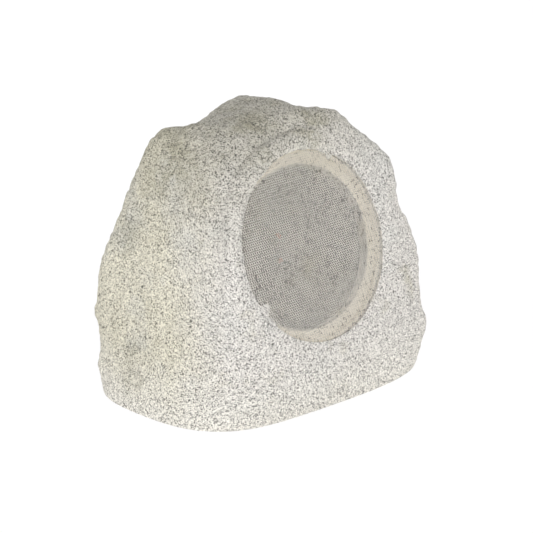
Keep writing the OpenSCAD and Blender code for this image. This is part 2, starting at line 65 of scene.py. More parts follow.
def makeCamera(s):
    # focal length from the picture's scale, and a shift that puts the aim on its own pixel
    data = bpy.data.cameras.new("camera")
    data.sensor_width = s["sensor"]
    data.lens = s["pixelsPerMetre"] * s["distance"] / s["picture"] * s["sensor"]
    data.shift_x = (s["picture"] / 2 - s["targetPixel"][0]) / s["picture"]
    data.shift_y = -(s["picture"] / 2 - s["targetPixel"][1]) / s["picture"]
    data.clip_start, data.clip_end = s["clip"]
    bpy.context.scene.camera = aimAtStone(data, s["azimuth"], s["elevation"], s["distance"])


makeCamera(cameraSetup)
print("camera placed")

# the stone: angles in degrees, lengths in mm
boulder = {
    "faceTilt": 18.0, "faceDistance": 142.0, "crispness": 12.0,
    "grilleX": 5.5, "grilleZ": 175.0, "lipDepth": 1.2, "ledgeDepth": 10.0, "ledgeThickness": 10.0,
    "recessRadius": 105.5, "landRadius": 109.0, "fadeRadius": 149.0,
    "notchWidth": 24.0, "notchHeight": 15.0, "notchFrom": 60.0,
    "edgeGap": 0.4, "rollWidth": 5.0, "rollDepth": 0.7,  # how the skin ends round the grille
    # a direction faces the grille's side from this cosine on, and lumps fade out below this rise
    "frontCosine": 0.1, "lumpRise": 0.14,
    # direction round, direction up, distance in mm
    "faces": [
        [-90, 18, 142], [-70, -17, 164], [10, -5, 151], [45, 8, 151], [90, 10, 136],
        [135, -10, 168], [185, 15, 167], [-133, 3, 161], [-98, -16, 124], [-27, -36, 165],
        [-170, -28, 168], [90, -27, 134], [0, 90, 318], [-136, 53, 290], [22, 41, 266],
        [163, 34, 270], [90, 36, 260]],
    # direction round, direction up, spread in degrees, height in mm
    "lumps": [
        [-33, 21, 14, -10], [-20, 47, 10, -16], [-23, 54, 5, 9], [-12, 64, 10, -5],
        [-16, 72, 7, 6], [-8, 77, 5, -6], [24, 78, 10, -2], [64, 78, 9, 4], [110, 77, 9, -6],
        [125, 77, 7, -12], [133, 70, 6, 6], [140, 60, 10, -4], [143, 30, 12, -2],
        [150, 14, 12, -5], [168, 64, 7, -4], [152, 46, 9, -3], [172, 18, 10, -4],
        [178, 46, 9, 4], [-160, 34, 9, 4], [-150, 55, 8, 3], [-162, 66, 7, 3],
        [-166, 11, 9, 3], [-110, 84, 6, -3], [-28, 80, 6, 2], [-127, 14, 9, 3],
        [-64, 16, 9, -3], [60, 40, 12, -6], [95, 22, 12, 4], [70, 10, 9, -4],
        [115, 45, 12, -5], [30, 24, 10, 3], [5, 34, 9, -3], [128, 30, 9, 3],
        [-36, 12, 5, 5], [-24, 46, 4, -3], [19, 81, 4, 3], [57, 80, 4, 3], [142, 41, 5, 3],
        [144, 25, 4, 4], [149, 8, 5, 5]],
    # fine relief of the cast stone: cell size and height in mm, seed
    "relief": [(27.0, 2.4, 4), (12.0, 2.2, 7), (6.0, 0.9, 11), (3.2, 0.4, 19)],
    "knobCell": 10.0, "knobMean": 0.2,  # larger cells make knobs
    # the relief is quiet at the rim and round the grille, and returns over the fade
    "quietWidth": 9.0, "quietShare": 0.45, "quietFade": 60.0,
    "stepsRound": 560, "stepsUp": 168}

tilt = math.radians(boulder["faceTilt"])
axisOut = np.array([0, -math.cos(tilt), math.sin(tilt)])  # out through the grille
axisUp = np.array([0, math.sin(tilt), math.cos(tilt)])  # up along the front face
axisSide = np.array([1.0, 0, 0])
grilleY = -(boulder["faceDistance"] - boulder["lipDepth"]
            - boulder["grilleZ"] * math.sin(tilt)) / math.cos(tilt)
grilleMid = np.array([boulder["grilleX"], grilleY, boulder["grilleZ"]])


def onFace(x, y, z):
    # a point given across, up and out of the grille, in mm, as a point of the row's frame
    x, y, z = np.broadcast_arrays(x, y, z)
    return grilleMid + x[..., None] * axisSide + y[..., None] * axisUp + z[..., None] * axisOut


def fromGrille(p):
    # a point's distance from the grille's axis, and how far it lies in front of the grille
    q = p - grilleMid
    return np.hypot(q @ axisSide, q @ axisUp), q @ axisOut


def ease(t):
    # smooth step from 0 to 1: three times the square less twice the cube
    t = np.clip(t, 0, 1)
    return t * t * (3 - 2 * t)


def directions(azimuth, elevation):
    # unit vectors from two angles in radians
    return np.stack([np.cos(elevation) * np.cos(azimuth), np.cos(elevation) * np.sin(azimuth),
                     np.sin(elevation)], -1)


def softRadius(d):
    # flat faces joined softly: a face's nearness is the cosine to it over its distance, and the
    # radius is one over the root of the sum of the nearnesses' powers
    f = np.array(boulder["faces"], float)
    n = directions(np.radians(f[:, 0]), np.radians(f[:, 1]))
    near = np.maximum(0, d @ n.T) / f[:, 2]
    return 1 / ((near ** boulder["crispness"]).sum(-1)) ** (1 / boulder["crispness"])


def lumpHeight(d):
    # sum of round bells in angle, which fade out at the ground
    l = np.array(boulder["lumps"], float)
    m = directions(np.radians(l[:, 0]), np.radians(l[:, 1]))
    bells = np.exp(-(1 - d @ m.T) / (1 - np.cos(np.radians(l[:, 2]))))
    return (bells * l[:, 3]).sum(-1) * ease(d[..., 2] / boulder["lumpRise"])


def landDistance(d):
    # where each direction meets the flat land round the grille, and how far off its axis
    cosine = np.maximum(0.05, d @ axisOut)  # directions that never meet it end far off
    hit = boulder["faceDistance"] / cosine
    off = np.linalg.norm(np.cross(d * hit[..., None] - grilleMid, axisOut), axis=-1)
    return hit, off


def rockRadius(d):
    # soft faces and lumps, flattened into the land round the grille
    hit, off = landDistance(d)
    fade = (boulder["fadeRadius"] - off) / (boulder["fadeRadius"] - boulder["landRadius"])
    share = np.where(d @ axisOut > boulder["frontCosine"], ease(fade), 0)
    return (1 - share) * (softRadius(d) + lumpHeight(d)) + share * hit


def valueNoise(p, cell, seed):
    # smooth random field: random values at the corners of cubes, blended inside each cube
    size = 64  # cubes along each side before the field repeats
    table = np.random.default_rng(seed).random((size, size, size)) * 2 - 1
    q = p / cell + 1000.0
    i = np.floor(q).astype(int)
    f = q - i
    f = f * f * (3 - 2 * f)
    total = np.zeros(p.shape[:-1])
    for step in np.ndindex(2, 2, 2):
        corner = (i + step) % size
        weight = np.where(step, f, 1 - f).prod(-1)
        total += weight * table[corner[..., 0], corner[..., 1], corner[..., 2]]
    return total


def relief(p):
    # knobs with creases between them at the larger sizes, then fine bumps: a knob is the random
    # field without its sign, less its mean
    total = 0
    for cell, height, seed in boulder["relief"]:
        field = valueNoise(p, cell, seed)
        if cell > boulder["knobCell"]:
            field = np.abs(field) - boulder["knobMean"]
        total = total + height * field
    return total


def addMesh(name, points, faces, smooth=True):
    # points in mm, faces as one array of triangles or quads
    data = bpy.data.meshes.new(name)
    points = np.asarray(points, float).reshape(-1, 3) * mm
    faces = np.asarray(faces, int)
    data.vertices.add(len(points))
    data.vertices.foreach_set("co", points.ravel())
    data.loops.add(faces.size)
    data.loops.foreach_set("vertex_index", faces.ravel())
    data.polygons.add(len(faces))
    data.polygons.foreach_set("loop_start", np.arange(len(faces)) * faces.shape[1])
    data.polygons.foreach_set("loop_total", np.full(len(faces), faces.shape[1]))
    data.update(calc_edges=True)
    data.polygons.foreach_set("use_smooth", np.full(len(faces), smooth))
    data.validate()
    piece = bpy.data.objects.new(name, data)
    bpy.context.collection.objects.link(piece)
    return piece


def readPoints(data):
    # a mesh's points, in mm
    co = np.zeros(len(data.vertices) * 3)
    data.vertices.foreach_get("co", co)
    return co.reshape(-1, 3) / mm


def onlyUsed(points, faces):
    # the points that some face uses, and the faces with their new numbers
    used = np.zeros(len(points), bool)
    used[faces.ravel()] = True
    index = np.cumsum(used) - 1
    return points[used], index[faces]


def gridFaces(nu, nv, flip=False):
    # quads between the points of a grid of nu by nv, closed round u
    u, v = np.meshgrid(np.arange(nu), np.arange(nv - 1), indexing="ij")
    a = u * nv + v
    b = ((u + 1) % nu) * nv + v
    q = np.stack([a, b, b + 1, a + 1], -1).reshape(-1, 4)
    return q[:, ::-1] if flip else q


def revolve(profile, steps):
    # a closed profile of radius and height carried round the grille's axis: points and quads
    profile = np.asarray(profile, float)
    angle = np.arange(steps)[:, None] / steps * 2 * np.pi
    points = onFace(profile[:, 0] * np.cos(angle), profile[:, 0] * np.sin(angle), profile[:, 1])
    return points.reshape(-1, 3), gridFaces(steps, len(profile), flip=True)


def notchDepth(p):
    # how far inside the arch of the rear notch a point lies, negative outside
    half = boulder["notchWidth"] / 2
    low = boulder["notchHeight"] - half
    out = np.where(p[:, 2] > low, np.hypot(p[:, 0], p[:, 2] - low), np.abs(p[:, 0])) - half
    return np.where(p[:, 1] > boulder["notchFrom"], -out, -half)


def ontoNotch(p):
    # points inside the arch go out to its round top or to its straight sides
    half = boulder["notchWidth"] / 2
    low = boulder["notchHeight"] - half
    r = np.maximum(np.hypot(p[:, 0], p[:, 2] - low), 0.01)
    above = p[:, 2] > low
    x = np.where(above, p[:, 0] * half / r, np.sign(p[:, 0] + 1e-9) * half)
    z = np.where(above, low + (p[:, 2] - low) * half / r, p[:, 2])
    return np.where((notchDepth(p) > 0)[:, None], np.stack([x, p[:, 1], z], -1), p)


def boulderSkin():
    # grid of directions times the stone's radius, plus the relief; faces over the grille and
    # the notch are left out, and the edge points slide onto their outlines
    nu, nv = boulder["stepsRound"], boulder["stepsUp"]
    azimuth = np.arange(nu) / nu * 2 * np.pi
    elevation = np.linspace(0, np.pi / 2, nv + 1)[:-1]
    d = directions(*np.meshgrid(azimuth, elevation, indexing="ij")).reshape(-1, 3)
    d = np.concatenate([d, [[0, 0, 1.0]]])
    p = d * rockRadius(d)[..., None]
    quads = gridFaces(nu, nv)
    last = np.arange(nu) * nv + nv - 1
    cap = np.stack([last, np.roll(last, -1), np.full(nu, nu * nv)], -1)
    tris = np.concatenate([quads[:, [0, 1, 2]], quads[:, [0, 2, 3]], cap])
    # round hole for the grille
    edge = boulder["recessRadius"] + boulder["edgeGap"]
    facing = d @ axisOut > boulder["frontCosine"]
    across, up = (p - grilleMid) @ axisSide, (p - grilleMid) @ axisUp
    off, height = fromGrille(p)
    inHole = facing & (height > -6) & (off < edge)
    tris = tris[~inHole[tris].all(1) & ~(notchDepth(p)[tris] > 0).all(1)]
    # slide the points left inside onto the circle and the arch
    stretch = edge / np.maximum(off, 1)
    onEdge = onFace(across * stretch, up * stretch, boulder["lipDepth"])
    p = np.where((inHole & (off > 1))[:, None], onEdge, p)
    p = ontoNotch(p)
    # relief, quiet at the rim and at the grille's edge
    gap = fromGrille(p)[0] - edge
    quiet = boulder["quietShare"] + (1 - boulder["quietShare"]) * ease(gap / boulder["quietFade"])
    edgeShare = np.where(facing, ease((gap + 0.5) / boulder["quietWidth"]) * quiet, 1)
    rimShare = ease((p[:, 2] - 1) / boulder["quietWidth"])
    p = p + d * (relief(p) * rimShare * edgeShare)[:, None]
    # the stone rolls over a little at the grille's edge
    roll = np.where(facing, (1 - gap / boulder["rollWidth"]).clip(0, 1) ** 2, 0)
    p = p - axisOut * (boulder["rollDepth"] * roll)[:, None]
    return onlyUsed(p, tris)


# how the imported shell's skin and the wall of its recess are told from the rest, in mm
shellCopy = {"skinWithin": 4.5, "wallWithin": 0.3, "wallReach": 20.0, "wallSpan": 2.0,
             "lipHeight": 5.0, "flat": 0.01}


def shellInside():
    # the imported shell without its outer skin: hollow, ledge, recess and rim
    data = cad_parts["rock_shell"].data
    co = readPoints(data)
    data.calc_loop_triangles()
    tri = np.zeros(len(data.loop_triangles) * 3, int)
    data.loop_triangles.foreach_get("vertices", tri)
    tri = tri.reshape(-1, 3)
    # the skin: all three corners near the stone's radius, and not the flat rim on the ground
    far = np.linalg.norm(co, axis=-1)
    skinError = np.abs(far - rockRadius(co / far[..., None]))
    s = shellCopy
    flat = (np.abs(co[tri][:, :, 2]) < s["flat"]).all(1)
    outer = (skinError[tri] < s["skinWithin"]).all(1) & ~flat
    # the wall of the recess comes near the skin too, but it stays
    off, height = fromGrille(co)
    middleOff, middleHeight = fromGrille(co[tri].mean(1))
    recess = np.abs(middleOff - boulder["recessRadius"]) < s["wallWithin"]
    recess &= middleHeight > -s["wallReach"]
    outer &= ~(recess & (np.ptp(height[tri], axis=1) > s["wallSpan"]))
    # that wall ends under the lip
    proud = np.abs(off - boulder["recessRadius"]) < s["wallWithin"]
    proud &= (height > 0) & (height < s["lipHeight"])
    co = co - np.where(proud, height, 0)[:, None] * axisOut
    return onlyUsed(co, tri[~outer])


# the uneven lip of stone that laps over the grille's edge, in mm; blobs: angle in degrees,
# width in degrees, reach in mm
lip = {"steps": 720, "radius": 106.3, "reach": 1.3, "wobble": 0.9, "leastReach": 0.6,
       "overlap": 0.8, "low": 0.15, "sunk": 0.85, "skirtWidth": 1.5, "skirtDepth": 0.9,
       "grit": 0.12, "gritCell": 2.5,
       "blobs": [(208, 3.4, 10.5), (218, 4.0, 2.0), (62, 2.2, 7.0), (67, 5.0, 2.0),
                 (118, 6.0, 1.2), (310, 5.0, 1.0), (15, 7.0, 0.8)]}


def grilleLip():
    # a profile carried round the grille: a quarter round from the land down to the sheet, whose
    # reach is its mean plus two random fields and flat topped bells for the blobs
    n = lip["steps"]
    angle = np.arange(n) / n * 2 * np.pi
    ring = np.stack([np.cos(angle), np.sin(angle), np.zeros(n)], -1)
    reach = lip["reach"] + lip["wobble"] * valueNoise(ring * 100, 11.0, 5) \
        + 0.5 * lip["wobble"] * valueNoise(ring * 100, 4.0, 6)
    for where, width, size in lip["blobs"]:
        gap = (np.degrees(angle) - where + 180) % 360 - 180
        reach = reach + size * np.exp(-(gap / width) ** 4)
    reach = np.clip(reach, lip["leastReach"], None)
    t = np.linspace(0, 1, 8)
    radius = lip["radius"] - np.sin(t * np.pi / 2) * (reach[:, None] + lip["overlap"])
    height = lip["low"] + (boulder["lipDepth"] - lip["sunk"]) * np.cos(t * np.pi / 2)
    height = np.broadcast_to(height, radius.shape)
    grit = valueNoise(np.stack([radius * ring[:, 0:1], radius * ring[:, 1:2], height], -1),
                      lip["gritCell"], 9)
    height = height + lip["grit"] * grit * (t > 0.05)
    skirtRadius = np.full((n, 1), lip["radius"] + lip["skirtWidth"])
    skirtHeight = np.full((n, 1), boulder["lipDepth"] - lip["skirtDepth"])
    radius = np.concatenate([skirtRadius, radius], 1)
    height = np.concatenate([skirtHeight, height], 1)
    points = onFace(radius * ring[:, 0:1], radius * ring[:, 1:2], height)
    return points.reshape(-1, 3), gridFaces(n, radius.shape[1])


# the perforated grille, in mm: hexagonal holes, measured across their corners
grilleSheet = {"pitch": 2.8, "holeWidth": 2.28, "sheet": 0.4, "reach": 104.8, "rim": 105.0,
               "rimDepth": 5.0, "rimSteps": 240, "margin": 1.0, "bend": 0.6, "below": 0.06,
               "hemStart": 1.2}


def perforatedSheet(part):
    # every hole is a ring of six quads between a six sided cell and a six sided hole, on the
    # front and on the back, with the hole's wall between them
    s = grilleSheet
    row = s["pitch"] * math.sqrt(3) / 2
    n = int(s["reach"] / row) + 2
    j, i = np.meshgrid(np.arange(-n, n + 1), np.arange(-n, n + 1), indexing="ij")
    x = (i + 0.5 * (j % 2)) * s["pitch"]
    y = j * row
    keep = (np.hypot(x, y) < s["reach"] - s["pitch"] * 0.4) & ((y >= 0) == (part == "upper"))
    centre = np.stack([x[keep], y[keep]], -1)
    k = np.arange(6)
    corner = np.radians(60 * k + 30)
    unit = np.stack([np.cos(corner), np.sin(corner)], -1)
    cell = unit * s["pitch"] / math.sqrt(3)
    hole = unit * s["holeWidth"] / 2
    rings = [(cell, 0.0), (hole, 0.0), (hole, -s["sheet"]), (cell, -s["sheet"])]
    flat = np.stack([centre[:, None] + outline for outline, depth in rings], 1)
    depths = np.array([depth for outline, depth in rings])[None, :, None]
    points = onFace(flat[..., 0], flat[..., 1], depths)
    first = (np.arange(len(centre)) * 24)[:, None, None, None]
    a = first + np.arange(3)[None, :, None, None] * 6
    here, after = k[None, None, :, None], (k[None, None, :, None] + 1) % 6
    quads = np.concatenate([a + here, a + after, a + 6 + after, a + 6 + here], -1).reshape(-1, 4)
    print("holes in the", part, "half of the grille:", len(centre))
    return points.reshape(-1, 3), quads


def grilleRim():
    # turned edge of the sheet: flat margin, small bend, straight wall, folded hem
    s = grilleSheet
    start, wall, inner = s["rim"] - s["margin"], s["rim"], s["rim"] - s["sheet"]
    turn = np.radians(np.linspace(90, 0, 6))
    bend = np.stack([wall - s["bend"] + s["bend"] * np.cos(turn),
                     s["bend"] * np.sin(turn) - s["bend"] - s["below"]], -1)
    return revolve(np.concatenate([
        [[start, -s["below"]]], bend,
        [[wall, -s["rimDepth"]], [inner, -s["rimDepth"]], [inner, -s["hemStart"]],
         [start, -s["sheet"]], [start, -s["below"]]]]), s["rimSteps"])


# the driver's soft parts, in mm: radii from its axis, heights from the grille's outer face
driver = {"edge": -20.7, "rollMiddle": 76.5, "rollRadius": 6.0, "sheet": 0.8, "coneEdge": 70.0,
          "glueWidth": 4.0, "landOut": 87.6, "coil": 19.0, "spiderHeight": -56.05,
          "spiderSheet": 0.65, "spiderEdge": 55.0, "foldsStart": 21.0, "foldsEnd": 46.0,
          "foldHeight": 1.6, "folds": 4, "leadEnd": 4.0, "steps": 192}


def bendWithCone(piece):
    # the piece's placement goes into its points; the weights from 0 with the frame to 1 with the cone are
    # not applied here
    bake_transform(piece)


def rollSurround():
    # flat glued edge on the cone, half a circle over the gap, flat edge on the frame; then back
    d = driver
    edge, sheet, start = d["edge"], d["sheet"], d["coneEdge"] - d["glueWidth"]

    def roll(radius, degrees):
        t = np.radians(degrees)
        return np.stack([d["rollMiddle"] + radius * np.cos(t), edge + radius * np.sin(t)], -1)

    outer = roll(d["rollRadius"] + sheet / 2, np.linspace(172, 0, 25))
    inner = roll(d["rollRadius"] - sheet / 2, np.linspace(0, 180, 25))
    profile = np.concatenate([
        [[start, edge + sheet]], outer,
        [[d["landOut"], edge], [d["landOut"], edge - sheet], [inner[0, 0], edge - sheet]],
        inner, [[start, edge], [start, edge + sheet]]])
    share = ease((d["rollMiddle"] + d["rollRadius"] - profile[:, 0]) / (2 * d["rollRadius"]))
    return *revolve(profile, d["steps"]), np.tile(share, d["steps"])


def foldedSpider():
    # round folds: height is a sine of the radius that fades to nothing at both edges
    d = driver
    t = np.linspace(0, 1, 97)
    width = d["foldsEnd"] - d["foldsStart"]
    r = d["foldsStart"] + width * t
    wave = np.sin(2 * np.pi * d["folds"] * t) * np.sin(np.pi * t)
    z = d["spiderHeight"] + d["foldHeight"] * wave
    top = np.concatenate([[[d["coil"] + 0.1, z[0]]], np.stack([r, z], -1), [[d["spiderEdge"], z[-1]]]])
    low = top[::-1] - [0, d["spiderSheet"]]
    profile = np.concatenate([top, low, top[:1]])
    share = ease((d["foldsEnd"] - profile[:, 0]) / width)
    return *revolve(profile, d["steps"]), np.tile(share, d["steps"])


skinPoints, skinFaces = boulderSkin()
insidePoints, insideFaces = shellInside()
stoneShell = addMesh("stone_shell", np.concatenate([skinPoints, insidePoints]),
                     np.concatenate([skinFaces, insideFaces + len(skinPoints)]))
smoothFlags = np.arange(len(stoneShell.data.polygons)) < len(skinFaces)
stoneShell.data.polygons.foreach_set("use_smooth", smoothFlags)
print("stone:", len(skinFaces), "skin faces,", len(insideFaces), "inside")
stoneLip = addMesh("stone_lip", *grilleLip())
meshHalves = [addMesh("grille_" + part, *perforatedSheet(part), smooth=False)
              for part in ("upper", "lower")]
meshRim = addMesh("grille_rim", *grilleRim())
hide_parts("rock_shell")
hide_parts("grille")
for piece, slotName in ((stoneShell, "rock_shell"), (stoneLip, "rock_shell"), (meshHalves[0], "grille"),
                        (meshHalves[1], "grille"), (meshRim, "grille")):
    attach(piece, "enclosure")
print("stone and grille done")

softPieces = {}
for nodeName, builder in (("surround", rollSurround), ("spider", foldedSpider)):
    points, faces, share = builder()
    piece = addMesh("soft_" + nodeName, points, faces)
    bendWithCone(piece)
    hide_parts(nodeName)
    softPieces[nodeName] = piece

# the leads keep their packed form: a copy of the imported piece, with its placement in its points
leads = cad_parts["lead_wires"]
softLeads = bpy.data.objects.new("soft_leads", leads.data.copy())
bpy.context.collection.objects.link(softLeads)
softLeads.matrix_world = leads.matrix_world.copy()
leadReach = fromGrille(readPoints(softLeads.data))[0]
bendWithCone(softLeads)
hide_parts("lead_wires")
softPieces["lead_wires"] = softLeads
print("soft pieces done")


def linear(colour):
    # a colour from 0 to 255 as the renderer's light values
    return tuple(c / 255 / 12.92 if c <= 10 else ((c / 255 + 0.055) / 1.055) ** 2.4
                 for c in colour) + (1,)


def shaded(colour, share):
    # the same colour with less or more light
    return tuple(min(1, c * share) for c in linear(colour)[:3]) + (1,)


def newMaterial(name):
    # a material with its node tree, its shader and the object's own coordinates
    material = bpy.data.materials.new(name)
    material.use_nodes = True
    tree = material.node_tree
    shader = tree.nodes["Principled BSDF"]
    coords = tree.nodes.new("ShaderNodeTexCoord").outputs["Object"]
    return material, tree, shader, coords


def makeNode(tree, kind, inputs=None, **settings):
    # an input is linked if it is given as a socket, and set if it is given as a value
    node = tree.nodes.new("ShaderNode" + kind)
    for key, value in settings.items():
        setattr(node, key, value)
    for key, value in (inputs or {}).items():
        if isinstance(value, bpy.types.NodeSocket):
            tree.links.new(value, node.inputs[key])
        else:
            node.inputs[key].default_value = value
    return node


def calculate(tree, operation, *values, clamp=False):
    # one sum on sockets and values
    node = makeNode(tree, "Math", dict(enumerate(values)), operation=operation, use_clamp=clamp)
    return node.outputs[0]


def remap(tree, value, low, high, toLow=0.0, toHigh=1.0, **settings):
    # carries the range from low to high over to the range from toLow to toHigh
    node = makeNode(tree, "MapRange", {"Value": value, "From Min": low, "From Max": high,
                                       "To Min": toLow, "To Max": toHigh}, **settings)
    return node.outputs[0]


def alongAxis(tree, coords, axis):
    # how far a point lies along a direction
    node = makeNode(tree, "VectorMath", {0: coords, 1: tuple(axis)}, operation="DOT_PRODUCT")
    return node.outputs["Value"]


def cloud(tree, coords, scale, detail, rough=0.5):
    # soft random patches, so many to the metre
    return makeNode(tree, "TexNoise", {"Vector": coords, "Scale": scale, "Detail": detail,
                                       "Roughness": rough})


def grainCells(tree, coords, size):
    # cells of a size in mm: the distance to each one's middle, and two random shades for each
    grains = makeNode(tree, "TexVoronoi", {"Vector": coords, "Scale": 1000 / size})
    shade = makeNode(tree, "SeparateColor", {"Color": grains.outputs["Color"]})
    return grains.outputs["Distance"], shade.outputs[0], shade.outputs[1]


def mixColours(tree, factor, first, second, blend="MIX"):
    # from the first colour to the second as the factor goes from 0 to 1
    inputs = {0: factor, 6: first, 7: second}  # a Mix node's sockets for colours
    return makeNode(tree, "Mix", inputs, data_type="RGBA", blend_type=blend).outputs[2]


def ramp(tree, value, stops):
    # shades of grey, blended between places from 0 to 1
    node = makeNode(tree, "ValToRGB", {"Fac": value})
    while len(node.color_ramp.elements) < len(stops):
        node.color_ramp.elements.new(0.5)
    for element, (place, shade) in zip(node.color_ramp.elements, stops):
        element.position = place
        element.color = (shade, shade, shade, 1)
    return node.outputs["Color"]


def setSurface(tree, shader, colour, rough, height, strength, distance):
    # base colour, roughness, and fine bumps from a pattern of height, with the distance in metres
    tree.links.new(colour, shader.inputs["Base Color"])
    if isinstance(rough, bpy.types.NodeSocket):
        tree.links.new(rough, shader.inputs["Roughness"])
    else:
        shader.inputs["Roughness"].default_value = rough
    bump = makeNode(tree, "Bump", {"Height": height, "Strength": strength, "Distance": distance})
    tree.links.new(bump.outputs["Normal"], shader.inputs["Normal"])


# the stone's paint: colours from 0 to 255, sizes in mm; the darkest colour serves the stains and painted
# shade on the upper part, and the palest paints light near the ground
granite = {"cream": (233, 229, 223), "warm": (231, 226, 208), "olive": (196, 190, 168),
           "grey": (220, 220, 215), "stainAndTopShade": (176, 172, 152), "pale": (246, 242, 233),
           "grainSize": 1.0, "fineSize": 0.6, "flakeSize": 1.5, "flakeShare": 0.005,
           "roughness": 0.88, "gloss": 0.3, "bump": 0.35,
           # stains: place in mm, radius in mm, strength
           "stains": [((-104, 27, 242), 40, 0.8), ((-79, 37, 279), 32, 0.8),
                      ((-129, 67, 180), 44, 0.5), ((-161, 24, 53), 46, 0.45),
                      ((-15, -15, 294), 38, 0.6), ((57, -31, 298), 26, 0.7),
                      ((-120, -20, 250), 34, 0.5)],
           "stainBend": 0.12}  # how far the stains are bent out of round, in metres


def graniteFinish(name, g, depth=1.0):
    # cream stone paint with fine grey and black grains, over soft patches of warm and olive
    material, tree, shader, coords = newMaterial(name)
    broad = cloud(tree, coords, 11.0, 4.0, 0.6).outputs["Fac"]
    patches = cloud(tree, coords, 26.0, 5.0, 0.65)
    patch = patches.outputs["Fac"]
    place = makeNode(tree, "SeparateXYZ", {"Vector": coords})
    # warmer towards the left and the back
    leftward = remap(tree, alongAxis(tree, coords, (-1.0, 0.8, 0.0)), 0.05, 0.14)
    warmth = calculate(tree, "MULTIPLY", leftward, broad)
    warmth = calculate(tree, "MULTIPLY", warmth, 2.2, clamp=True)
    ground = mixColours(tree, warmth, linear(g["cream"]), linear(g["warm"]))
    # patches of olive and of cooler grey
    olive = ramp(tree, patch, [(0.56, 0), (0.76, 0.6)])
    ground = mixColours(tree, olive, ground, linear(g["olive"]))
    cool = ramp(tree, broad, [(0.25, 0.8), (0.5, 0)])
    ground = mixColours(tree, cool, ground, linear(g["grey"]))
    # painted light: paler near the ground, as if lit by the floor below
    low = remap(tree, place.outputs["Z"], 0.07, 0.0)
    ground = mixColours(tree, low, ground, linear(g["pale"]))
    # painted shade: darker upper part, more so on the left, broken up by the patches
    rise = calculate(tree, "MULTIPLY_ADD", place.outputs["X"], -0.25, place.outputs["Z"])
    upward = remap(tree, rise, 0.2, 0.31, 0.0, 1.15)
    upper = calculate(tree, "MULTIPLY", upward, patch, clamp=True)
    ground = mixColours(tree, upper, ground, linear(g["stainAndTopShade"]))
    # a few weathered stains: soft balls, bent out of round and broken up by the patches
    bend = g["stainBend"]
    bent = makeNode(tree, "VectorMath", {0: patches.outputs["Color"], 1: (bend, bend, bend), 2: coords},
                    operation="MULTIPLY_ADD").outputs[0]
    for centre, radius, strength in g["stains"]:
        middle = tuple(c * mm + bend / 2 for c in centre)  # the patches' mean is one half
        away = makeNode(tree, "VectorMath", {0: bent, 1: middle}, operation="DISTANCE")
        ball = remap(tree, away.outputs["Value"], radius * mm, 0.0, 0.0, 2 * strength,
                     interpolation_type="SMOOTHSTEP")
        stain = calculate(tree, "MULTIPLY", ball, patch, clamp=True)
        ground = mixColours(tree, stain, ground, linear(g["stainAndTopShade"]))
    # coarse and fine grains, each cell with its own shade; the coarse dark ones come in clumps
    distance, coarse = grainCells(tree, coords, g["grainSize"])[:2]
    fine = grainCells(tree, coords, g["fineSize"])[1]
    clump = cloud(tree, coords, 300.0, 2.0).outputs["Fac"]
    darkness = calculate(tree, "SUBTRACT", clump, 0.5)
    darkness = calculate(tree, "MULTIPLY_ADD", darkness, 0.5, coarse)
    dark = ramp(tree, darkness, [(0.0, 1.0), (0.5, 0.97), (0.7, 0.72), (0.84, 0.4), (0.95, 0.12)])
    ground = mixColours(tree, depth, ground, dark, "MULTIPLY")
    small = ramp(tree, fine, [(0.0, 1.0), (0.5, 0.97), (0.74, 0.66), (0.92, 0.26)])
    ground = mixColours(tree, depth * 0.8, ground, small, "MULTIPLY")
    # sparse dark flakes
    flakes = grainCells(tree, coords, g["flakeSize"])[2]
    flake = ramp(tree, flakes, [(0.0, 0.22), (g["flakeShare"], 0.35), (g["flakeShare"] + 0.01, 1.0)])
    ground = mixColours(tree, 1.0, ground, flake, "MULTIPLY")
    height = calculate(tree, "MULTIPLY_ADD", distance, 0.5, clump)
    setSurface(tree, shader, ground, g["roughness"], height, g["bump"], 0.0009)
    shader.inputs["Specular IOR Level"].default_value = g["gloss"]
    return material


def plainFinish(name, colour, rough, metal=0.0, grain=60.0, spread=0.12, bump=0.05, coat=0.0):
    # one colour with fine variation in shade, roughness and height
    material, tree, shader, coords = newMaterial(name)
    fine = cloud(tree, coords, grain * 10, 3.0).outputs["Fac"]
    wide = cloud(tree, coords, grain, 4.0).outputs["Fac"]
    mixed = mixColours(tree, wide, shaded(colour, 1 - spread), shaded(colour, 1 + spread))
    uneven = remap(tree, fine, 0.0, 1.0, max(0.03, rough - 0.1), min(1, rough + 0.1))
    setSurface(tree, shader, mixed, uneven, fine, bump, 0.0005)
    shader.inputs["Metallic"].default_value = metal
    shader.inputs["Coat Weight"].default_value = coat
    return material


def ledgeFinish(name, paint, openingBlackAndShadow, oval):
    # pale paint on the ledge, dark inside an oval round the opening: black paint round the opening,
    # and painted shadow of the lip where the oval reaches over the ledge's left side; the oval is
    # given by its middle and half widths across and up, in mm from the grille's middle
    material, tree, shader, coords = newMaterial(name)
    wide = cloud(tree, coords, 70.0, 4.0).outputs["Fac"]
    reach = []
    for axis, middle, half in ((axisSide, oval[0], oval[2]), (axisUp, oval[1], oval[3])):
        start = float(grilleMid @ axis) + middle
        reach.append(remap(tree, alongAxis(tree, coords, axis), (start - half) * mm,
                           (start + half) * mm, -1.0, 1.0, clamp=False))
    place = makeNode(tree, "CombineXYZ", {"X": reach[0], "Y": reach[1]})
    off = makeNode(tree, "VectorMath", {0: place.outputs[0]}, operation="LENGTH").outputs["Value"]
    ragged = calculate(tree, "MULTIPLY_ADD", wide, 0.05, off)
    share = remap(tree, ragged, 1.01, 1.06)
    light = mixColours(tree, wide, shaded(paint, 0.92), linear(paint))
    mixed = mixColours(tree, share, linear(openingBlackAndShadow), light)
    setSurface(tree, shader, mixed, 0.8, wide, 0.3, 0.0005)
    return material


